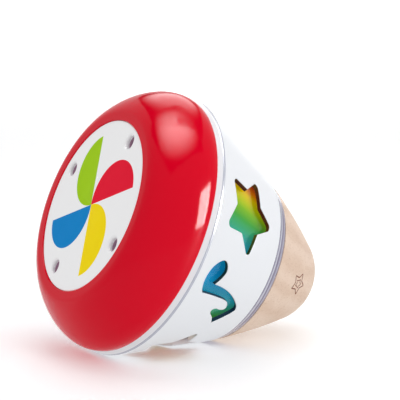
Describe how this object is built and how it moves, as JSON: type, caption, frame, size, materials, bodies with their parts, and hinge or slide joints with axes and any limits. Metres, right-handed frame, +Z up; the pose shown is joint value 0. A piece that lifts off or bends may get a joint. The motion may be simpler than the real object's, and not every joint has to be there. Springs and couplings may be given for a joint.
{
  "type": "roll-along musical cone toy",
  "caption": "Cone-shaped toy that rolls in a circle: red cap with a white face disc, white shell with star and note windows over a rainbow drum, and a rounded wooden nose.",
  "frame": {"origin": "centre of the bounding box's bottom, on the surface that the toy lies on", "axes": "+Z up; +X along the surface toward the wooden nose, with the face disc at -X. The spin axis lies in the XZ plane, 22.5 degrees nose-down."},
  "size_m": [0.1296, 0.119, 0.1134],
  "materials": {
    "red_plastic": "moulded, high gloss",
    "white_plastic": "moulded, satin gloss",
    "clear_plastic": null,
    "beech": "turned and clear lacquered",
    "steel": "zinc-plated screws and ground shafts",
    "spring_steel": "hardened strip",
    "brass": "turned",
    "cast_weight": "sand-cast, tumbled",
    "natural_plastic": "unfilled nylon",
    "grey_plastic": "moulded, fine grain",
    "printed_drum": "printed round in rainbow colours"
  },
  "bodies": {
    "outer_body": {"red_cap": "red_plastic", "face_disc": "white_plastic", "face_screws": "steel", "rim_plate": "white_plastic", "rim_screws": "steel", "clear_liner": "clear_plastic", "white_shell": "white_plastic", "wooden_nose": "beech", "nose_screws": "steel", "axle": "steel", "axle_clip": "spring_steel", "drive_pinion": "natural_plastic"},
    "carrier": {"upper_plate": "grey_plastic", "lower_plate": "grey_plastic", "carrier_posts": "grey_plastic", "post_screws": "steel", "ballast_weight": "cast_weight", "ballast_screws": "steel", "upper_bush": "brass", "lower_bush": "brass", "rainbow_drum": "printed_drum", "drum_screws": "steel", "comb": "spring_steel", "comb_bridge": "cast_weight", "comb_screws": "steel"},
    "music_cylinder": {"cylinder_gear": "natural_plastic", "cylinder_arbor": "steel", "pin_cylinder": "brass"}
  },
  "joints": [
    {"name": "carrier_swing", "type": "hinge", "parent": "outer_body", "child": "carrier", "pos_m": [-0.00192, 0, 0.04636], "axis": [0.9239, 0, -0.3827], "continuous": true},
    {"name": "cylinder_turn", "type": "hinge", "parent": "carrier", "child": "music_cylinder", "pos_m": [0.01005, 0, 0.06743], "axis": [0.9239, 0, -0.3827], "continuous": true}
  ],
  "couplings": [
    {"joint": "cylinder_turn", "follows": "carrier_swing", "ratio": 0.33333}
  ]
}
